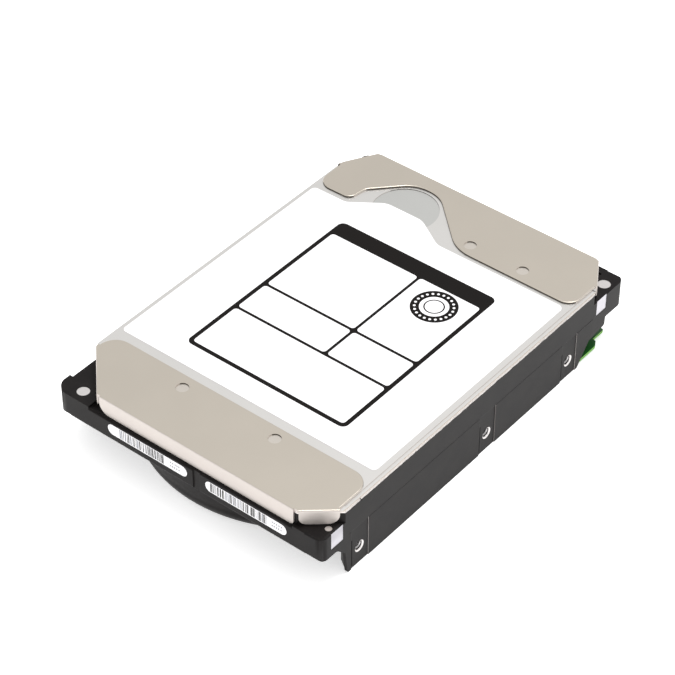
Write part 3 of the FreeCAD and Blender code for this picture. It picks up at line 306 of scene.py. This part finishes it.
def flat_print(loops, z0, z1):
    """Closed thin solid from outlines in millimetres; inner outlines are holes."""
    curve = bpy.data.curves.new("print", "CURVE")
    curve.dimensions = "2D"
    curve.fill_mode = "BOTH"
    curve.extrude = (z1 - z0) / 2 * MM
    for loop in loops:
        spline = curve.splines.new("POLY")
        spline.points.add(len(loop) - 1)
        for point, (x, y) in zip(spline.points, loop):
            point.co = (x * MM, y * MM, 0.0, 1.0)
        spline.use_cyclic_u = True
    holder = bpy.data.objects.new("print", curve)
    mesh = bpy.data.meshes.new_from_object(holder)
    bpy.data.objects.remove(holder)
    bpy.data.curves.remove(curve)
    mesh.transform(Matrix.Translation((0, 0, (z0 + z1) / 2 * MM)))
    bm = bmesh.new()
    bm.from_mesh(mesh)
    bpy.data.meshes.remove(mesh)
    bmesh.ops.remove_doubles(bm, verts=bm.verts, dist=0.001 * MM)
    return from_bmesh(bm)


def add_box(bm, x0, x1, y0, y1, z0, z1, material=0):
    result = bmesh.ops.create_cube(bm, size=1.0)
    for v in result["verts"]:
        v.co = Vector(((x0 + (v.co.x + 0.5) * (x1 - x0)) * MM,
                       (y0 + (v.co.y + 0.5) * (y1 - y0)) * MM,
                       (z0 + (v.co.z + 0.5) * (z1 - z0)) * MM))
    for face in {f for v in result["verts"] for f in v.link_faces}:
        face.material_index = material


# --------------------------------------------------------------- CAD finishes and painted shade

for node, piece in NODES.items():
    piece.data.materials.clear()
    piece.data.materials.append(LOOKS[SLOT_OF[node]])


def finish_and_shade_faces(node, extra, zone):
    """Give a CAD node more materials, finishes and painted shade; zone(centre, normal) picks
    one per face, in mm.
    """
    mesh = NODES[node].data
    for material in extra:
        mesh.materials.append(material)
    for face in mesh.polygons:
        face.material_index = zone(face.center / MM, face.normal)


# The cover's edges that are bent down, as (x, y) end points
FLAP_EDGES = (
    ((-34.3, -72.4), (41.0, -72.4)),
    ((41.0, -72.4), (50.4, -64.3)),
    ((50.4, 58.8), (42.8, 70.75)),
    ((42.8, 70.75), (-43.6, 70.75)),
    ((-43.6, 70.75), (-50.4, 58.8)),
    ((-50.4, -55.6), (-34.3, -72.4)),
)
# How near such an edge a face's centre lies, in mm, to belong to its bend
FLAP_REACH = 0.7
FLAP_TOP = 24.95
# Upper limit of each sunken level's height, and its zone
COVER_LEVELS = ((25.4, 2), (25.6, 1), (25.9, 3))
LOWER_LEVEL = 25.32
RECESS_X, RECESS_Y, RECESS_R = -19.0, 53.0, 11.0


def near_flap(x, y):
    for (ax, ay), (bx, by) in FLAP_EDGES:
        dx, dy = bx - ax, by - ay
        t = ((x - ax) * dx + (y - ay) * dy) / (dx * dx + dy * dy)
        t = min(1.0, max(0.0, t))
        if math.hypot(x - ax - t * dx, y - ay - t * dy) < FLAP_REACH:
            return True
    return False


def cover_zone(centre, normal):
    """0 plate, 1 lower level, 2 recess, 3 pressing, 4 flap, 5 step wall painted dark as
    shade.
    """
    z = centre.z
    if z < FLAP_TOP:
        return 4
    if normal.z > 0.95:
        in_recess = math.hypot(centre.x - RECESS_X, centre.y - RECESS_Y) < RECESS_R
        for top, zone in COVER_LEVELS:
            if z < top:
                return zone if zone != 2 or in_recess else 1
        return 0
    if near_flap(centre.x, centre.y):
        return 4 if normal.z < 0.75 else 0
    # Step walls are painted dark as shade, except those facing +x, which take the flap's
    # finish
    if abs(normal.z) < 0.4 and z > LOWER_LEVEL:
        return 4 if normal.x > 0.9 else 5
    return 0


finish_and_shade_faces("outer_cover",
             [COVER_LOW, COVER_RECESS, COVER_PRESSED, COVER_FLAP, COVER_STEP_SHADE], cover_zone)
finish_and_shade_faces("control_board", [BOARD_EDGE],
             lambda centre, normal: 1 if abs(normal.z) < 0.5 else 0)


# -------------------------------------------------------------- base casting

EAR_DISC_Z = 20.68
SEAT_Z = 23.4
MILLED_X = 50.68
MILLED_LOW = 14.8
MILLED_Y = ((-69.5, -64.0), (58.7, 64.1))
# Reach across the side's thickness of the pads' sharp edges, painted light as a highlight,
# and of their grooves, painted dark as shade
EDGE_X = (50.5, 50.81)
GROOVE_X = (50.15, PAD_X - 0.05)
GROOVE_Y = (-4.0, -3.2)
SINK_X = (50.0, PAD_X + 0.01)
SINK_HIGH = 0.45
SINK_R = 2.1


def between(value, limits):
    return limits[0] < value < limits[1]


def in_sink(across, hole_across, y, hole_ys):
    """True inside the countersink of one of a row of threaded holes."""
    return any(math.hypot(y - h, across - hole_across) < SINK_R for h in hole_ys)


def casting_zone(centre, normal):
    """0 coat, 1 bare metal, 2 milled flat, 3 painted highlight on the pads' sharp edge, 4
    painted shade in their groove.
    """
    x, y, z = (c / MM for c in centre)
    side = abs(x)
    if normal.z > 0.9 and (abs(z - EAR_DISC_Z) < 0.03 or abs(z - SEAT_Z) < 0.05):
        return 1
    if abs(normal.x) > 0.9 and abs(side - MILLED_X) < 0.02 and z > MILLED_LOW:
        return 2 if any(between(y, span) for span in MILLED_Y) else 0
    # Each pad's far step wall, facing -y, is painted light as a highlight
    if normal.y < -0.9 and between(side, EDGE_X):
        return 3 if any(abs(y - h - PAD_HALF) < 0.05 for h in SIDE_HOLE_Y) else 0
    # The groove beside each pad is painted dark as shade
    if between(side, GROOVE_X) and any(between(y - h, GROOVE_Y) for h in SIDE_HOLE_Y):
        return 4
    if between(side, SINK_X) and abs(normal.x) < 0.99:
        return int(in_sink(z, SIDE_HOLE_Z, y, SIDE_HOLE_Y))
    if z < SINK_HIGH and abs(normal.z) < 0.99:
        return int(in_sink(side, BOTTOM_HOLE_X, y, BOTTOM_HOLE_Y))
    return 0


def make_casting():
    source = NODES["base_casting"].data
    bm = bmesh.new()
    bm.from_mesh(source)
    bmesh.ops.remove_doubles(bm, verts=bm.verts, dist=0.001 * MM)
    bmesh.ops.dissolve_limit(bm, angle_limit=math.radians(0.5), verts=bm.verts,
                             edges=bm.edges)
    for face in bm.faces:
        face.material_index = casting_zone(face.calc_center_median(), face.normal)
    mesh = from_bmesh(bm)
    smooth_by_angle(mesh)
    casting = link_mesh("casting_coated", mesh,
                        [LOOKS["casting_black"], BARE, MILLED, COAT_EDGE_HIGHLIGHT, COAT_GROOVE_SHADE])
    casting.modifiers.new("even_shading", "WEIGHTED_NORMAL").keep_sharp = True
    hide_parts("base_casting")


make_casting()


# 6-32 UNC thread: its pitch, the ridge's radii and half its foot; steps in one turn
THREAD_PITCH = 0.794
THREAD_ROOT, THREAD_CREST, THREAD_HALF_FOOT = 1.4, 1.12, 0.33
THREAD_STEPS = 24
# Depths in mm between which the ridge runs
THREAD_START, SIDE_THREAD_END, BOTTOM_THREAD_END = 0.75, 3.9, 4.2
THREAD_SECTION = ((THREAD_ROOT, -THREAD_HALF_FOOT), (THREAD_CREST, 0.0),
                  (THREAD_ROOT, THREAD_HALF_FOOT))


def add_thread(bm, to_world, start, end):
    """Helical ridge inside a mounting hole, along local +Z of to_world."""
    count = int((end - start) / THREAD_PITCH * THREAD_STEPS)
    rings = []
    for i in range(count + 1):
        a = math.tau * i / THREAD_STEPS
        z = start + THREAD_PITCH * i / THREAD_STEPS
        ring = []
        for r, dz in THREAD_SECTION:
            p = Vector((r * math.cos(a) * MM, r * math.sin(a) * MM, (z + dz) * MM))
            ring.append(bm.verts.new(to_world @ p))
        if rings:
            last = rings[-1]
            for k in range(3):
                j = (k + 1) % 3
                bm.faces.new((last[k], last[j], ring[j], ring[k]))
        rings.append(ring)
    bm.faces.new(rings[0])
    bm.faces.new(rings[-1][::-1])


def make_threads():
    bm = bmesh.new()
    for sign in (-1, 1):
        turn = Matrix.Rotation(math.radians(-90 * sign), 4, "Y")
        for y in SIDE_HOLE_Y:
            place = Matrix.Translation(Vector((sign * PAD_X, y, SIDE_HOLE_Z)) * MM)
            add_thread(bm, place @ turn, THREAD_START, SIDE_THREAD_END)
        for y in BOTTOM_HOLE_Y:
            place = Matrix.Translation(Vector((sign * BOTTOM_HOLE_X, y, 0.0)) * MM)
            add_thread(bm, place, THREAD_START, BOTTOM_THREAD_END)
    mesh = from_bmesh(bm)
    smooth_by_angle(mesh)
    link_mesh("mount_threads", mesh, [THREAD])


make_threads()


# ---------------------------------------------------------------- main label

PRINT_LOW = LABEL_TOP - 0.005
PRINT_TOP = LABEL_TOP + 0.015
FRAME_X = (-30.6, 29.8)
FRAME_Y = (-37.9, 35.7)
FRAME_LINE = 1.5
CELL_LINE = 1.0
BAND_Y = 29.2
DIVIDER_X = 5.0
CROSS_Y = (-2.8, -16.5)
FRAME_CORNER_R = 2.2
CELL_CORNER_R = 1.1
SEAL_X, SEAL_Y = 16.9, 21.1
SEAL_RING_R = (7.4, 4.6)
SEAL_DOTS, SEAL_DOT_R, SEAL_DOTS_AT_R = 22, 0.45, 6.0
SEAL_CIRCLE_R = (3.3, 2.85)


def make_label_print():
    x0, x1 = FRAME_X[0] + FRAME_LINE, FRAME_X[1] - FRAME_LINE
    y0 = FRAME_Y[0] + FRAME_LINE
    half = CELL_LINE / 2
    upper, lower = CROSS_Y
    cells = [
        (x0, DIVIDER_X - half, upper + half, BAND_Y),
        (DIVIDER_X + half, x1, upper + half, BAND_Y),
        (x0, DIVIDER_X - half, lower + half, upper - half),
        (DIVIDER_X + half, x1, lower + half, upper - half),
        (x0, x1, y0, lower - half),
    ]
    loops = [rounded(*FRAME_X, *FRAME_Y, FRAME_CORNER_R)]
    loops += [rounded(*cell, CELL_CORNER_R)[::-1] for cell in cells]
    link_mesh("label_frame_print", flat_print(loops, PRINT_LOW, PRINT_TOP), [INK])


def make_label_seal():
    """Plain dotted ring with a thin circle inside it."""
    centre = (SEAL_X, SEAL_Y)
    loops = [circle(*centre, SEAL_RING_R[0], 72), circle(*centre, SEAL_RING_R[1])[::-1]]
    for x, y in circle(*centre, SEAL_DOTS_AT_R, SEAL_DOTS):
        loops.append(circle(x, y, SEAL_DOT_R, 12)[::-1])
    link_mesh("label_seal_ring", flat_print(loops, PRINT_LOW, PRINT_TOP), [INK])
    loops = [circle(*centre, SEAL_CIRCLE_R[0]), circle(*centre, SEAL_CIRCLE_R[1])[::-1]]
    link_mesh("label_seal_circle", flat_print(loops, PRINT_LOW, PRINT_TOP), [INK])


make_label_print()
make_label_seal()


# -------------------------------------------------------------- front labels

PILL_Z = (15.05, 18.95)
PAPER_THICK = 0.06
# How far inside the case's front plane the paper's back and the print's middle lie
PAPER_INSET = 0.1
PRINT_INSET = 0.04
BAR_WIDTHS = (0.14, 0.2, 0.3, 0.42)
BAR_GAPS = (0.16, 0.26, 0.4)
DASH_W, DASH_H = 0.42, 0.6
DASH_GAPS = (0.3, 0.45)
# Height of the lower row of dashes over the label's edge, and from row to row
DASH_FIRST, DASH_ROW = 1.0, 1.3


def make_front_label(side, x0, x1, bars, dashes, seed):
    """White round-ended label; bars and dashes give their share of its width."""
    z0, z1 = PILL_Z
    outline = rounded(x0, x1, z0, z1, (z1 - z0) / 2 - 0.02, 10)
    mesh = flat_print([outline], 0.0, PAPER_THICK)
    mesh.transform(Matrix.Rotation(math.radians(90), 4, "X"))
    mesh.transform(Matrix.Translation((0, (-HALF_L + PAPER_INSET) * MM, 0)))
    pill = link_mesh("front_label_%s_paper" % side, mesh, [LOOKS["front_label_white"]])
    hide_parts("front_label_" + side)

    rng = random.Random(seed)
    bm = bmesh.new()
    width = x1 - x0
    y0, y1 = -HALF_L + PRINT_INSET - 0.02, -HALF_L + PRINT_INSET + 0.01
    x = x0 + bars[0] * width
    while x < x0 + bars[1] * width:
        bar = rng.choice(BAR_WIDTHS)
        add_box(bm, x, x + bar, y0, y1, z0 + 0.3, z1 - 0.25, rng.choice((0, 0, 1)))
        x += bar + rng.choice(BAR_GAPS)
    for row in range(2):
        x = x0 + dashes[0] * width
        while x < x0 + dashes[1] * width:
            z = z0 + DASH_FIRST + DASH_ROW * row
            add_box(bm, x, x + DASH_W, y0, y1, z, z + DASH_H, 1)
            x += DASH_W + rng.choice(DASH_GAPS)
    link_mesh("front_label_%s_bars" % side, from_bmesh(bm), [INK, GREY_INK])


make_front_label("left", -29.5, 1.2, (0.15, 0.72), (0.79, 0.9), 11)
make_front_label("right", 8.1, 38.1, (0.06, 0.77), (0.82, 0.94), 23)


# ------------------------------------------------------------- control board

def add_trace(bm, points, width, z0, z1):
    """Thin strip along a polyline, one box per leg; the boxes overlap at the corners."""
    for (ax, ay), (bx, by) in zip(points, points[1:]):
        length = math.hypot(bx - ax, by - ay)
        angle = math.atan2(by - ay, bx - ax)
        result = bmesh.ops.create_cube(bm, size=1.0)
        middle = Vector(((ax + bx) / 2, (ay + by) / 2, (z0 + z1) / 2))
        place = Matrix.Translation(middle * MM)
        turn = Matrix.Rotation(angle, 4, "Z")
        size = Matrix.Diagonal(((length + width) * MM, width * MM, (z1 - z0) * MM, 1.0))
        bmesh.ops.transform(bm, matrix=place @ turn @ size, verts=result["verts"])


def add_pad(bm, x, y, r, z0, z1, segments=20):
    place = Matrix.Translation(Vector((x, y, (z0 + z1) / 2)) * MM)
    bmesh.ops.create_cone(bm, cap_ends=True, segments=segments, radius1=r * MM,
                          radius2=r * MM, depth=(z1 - z0) * MM, matrix=place)


TRACE_GROUPS = 14
TRACE_W = 0.26
TRACE_PITCH = 0.75
GROUP_PITCH = 5.6
GROUP_START_X = -38.0
BOARD_X = (-41, 44)
END_PAD_R = 0.34
TEST_PADS = 36
TEST_PAD_R = (0.45, 0.6)
SCREW_PAD_R = 2.4
SCREW_GAP = 3.0


def clear_of_screws(x, y):
    return all(math.hypot(x - sx, y - sy) > SCREW_GAP for sx, sy in BOARD_SCREWS)


def make_board_print():
    """Masked copper lines and tinned pads on the side that shows."""
    rng = random.Random(5)
    z0, z1 = BOARD_LOW - 0.03, BOARD_LOW + 0.01
    lines = bmesh.new()
    pads = bmesh.new()
    for group in range(TRACE_GROUPS):
        x = GROUP_START_X + GROUP_PITCH * group
        y = rng.uniform(33.0, 38.0)
        step = rng.choice((-1, 1)) * rng.uniform(2.0, 4.5)
        middle = rng.uniform(44.0, 52.0)
        end = rng.uniform(57.0, 66.0)
        for k in range(rng.choice((3, 4, 5))):
            ox = x + TRACE_PITCH * k
            legs = [(ox, y), (ox, middle), (ox + step, middle + abs(step)),
                    (ox + step, end)]
            legs = [(px, py) for px, py in legs if clear_of_screws(px, py)]
            if len(legs) < 2 or not between(ox + step, BOARD_X):
                continue
            add_trace(lines, legs, TRACE_W, z0, z1)
            add_pad(pads, *legs[0], END_PAD_R, z0 - 0.01, z1)
            add_pad(pads, *legs[-1], END_PAD_R, z0 - 0.01, z1)
    for _ in range(TEST_PADS):
        x, y = rng.uniform(-40, 42), rng.uniform(32, 67)
        if clear_of_screws(x, y):
            add_pad(pads, x, y, rng.choice(TEST_PAD_R), z0 - 0.015, z1)
    for i in range(4):
        add_pad(pads, -4.5 + 3.0 * i, 33.4, 0.9, z0 - 0.02, z1)
    for x, y in BOARD_SCREWS:
        add_pad(pads, x, y, SCREW_PAD_R, z0 + 0.01, z0 + 0.03, 32)
    link_mesh("board_traces", from_bmesh(lines), [TRACE])
    link_mesh("board_pads", from_bmesh(pads), [TIN])


make_board_print()


# ---------------------------------------------------------- flexible circuit

def make_flex_ribbon():
    """The flex cable's ribbon, copied from its CAD mesh with the placement baked in."""
    mesh = NODES["flex_cable"].data.copy()
    ribbon = bpy.data.objects.new("flex_ribbon", mesh)
    bpy.context.scene.collection.objects.link(ribbon)
    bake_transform(ribbon)
    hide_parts("flex_cable")


make_flex_ribbon()


# ------------------------------------------------------ floor, light, camera

FLOOR_GLOW = 0.55
WORLD_LIGHT = 0.85


def make_floor():
    bm = bmesh.new()
    bmesh.ops.create_grid(bm, x_segments=1, y_segments=1, size=3.0)
    mesh = from_bmesh(bm)
    floor = bpy.data.objects.new("floor", mesh)
    bpy.context.scene.collection.objects.link(floor)
    white = plain("floor_white", (248, 248, 248), 0.9, 0.0, 0.0, shine=0.1)
    glow = white.node_tree.nodes["Principled BSDF"].inputs
    glow["Emission Color"].default_value = (1, 1, 1, 1)
    glow["Emission Strength"].default_value = FLOOR_GLOW
    mesh.materials.append(white)


def area_light(name, place, target, size, power):
    light = bpy.data.lights.new(name, "AREA")
    light.size = size
    light.energy = power
    lamp = bpy.data.objects.new(name, light)
    bpy.context.scene.collection.objects.link(lamp)
    lamp.location = place
    away = Vector(place) - Vector(target)
    lamp.rotation_euler = away.to_track_quat("Z", "Y").to_euler()


def make_light():
    world = bpy.data.worlds.new("studio")
    bpy.context.scene.world = world
    world.use_nodes = True
    sky = world.node_tree.nodes["Background"].inputs
    sky["Color"].default_value = (1, 1, 1, 1)
    sky["Strength"].default_value = WORLD_LIGHT
    area_light("key", (0.12, 0.3, 1.3), (0, 0, 0), 0.5, 9.0)
    bpy.context.scene.view_settings.view_transform = "Standard"


# Viewpoint fitted to the photograph; EYE in metres, LENS in mm on a 36 mm sensor
AZIMUTH = math.radians(39.049)
ELEVATION = math.radians(40.899)
ROLL = math.radians(0.104)
EYE = (0.358448, -0.446088, 0.513918)
LENS = 134.04


def make_camera():
    ca, sa = math.cos(AZIMUTH), math.sin(AZIMUTH)
    ce, se = math.cos(ELEVATION), math.sin(ELEVATION)
    back = Vector((sa * ce, -ca * ce, se))
    right = Vector((ca, sa, 0.0))
    up = back.cross(right)
    tilted_right = right * math.cos(ROLL) + up * math.sin(ROLL)
    tilted_up = up * math.cos(ROLL) - right * math.sin(ROLL)
    data = bpy.data.cameras.new("camera")
    data.lens = LENS
    data.sensor_width = 36.0
    data.clip_start = 0.01
    camera = bpy.data.objects.new("camera", data)
    bpy.context.scene.collection.objects.link(camera)
    turn = Matrix((tilted_right, tilted_up, back)).transposed().to_4x4()
    camera.matrix_world = Matrix.Translation(EYE) @ turn
    bpy.context.scene.camera = camera


make_floor()
make_light()
make_camera()
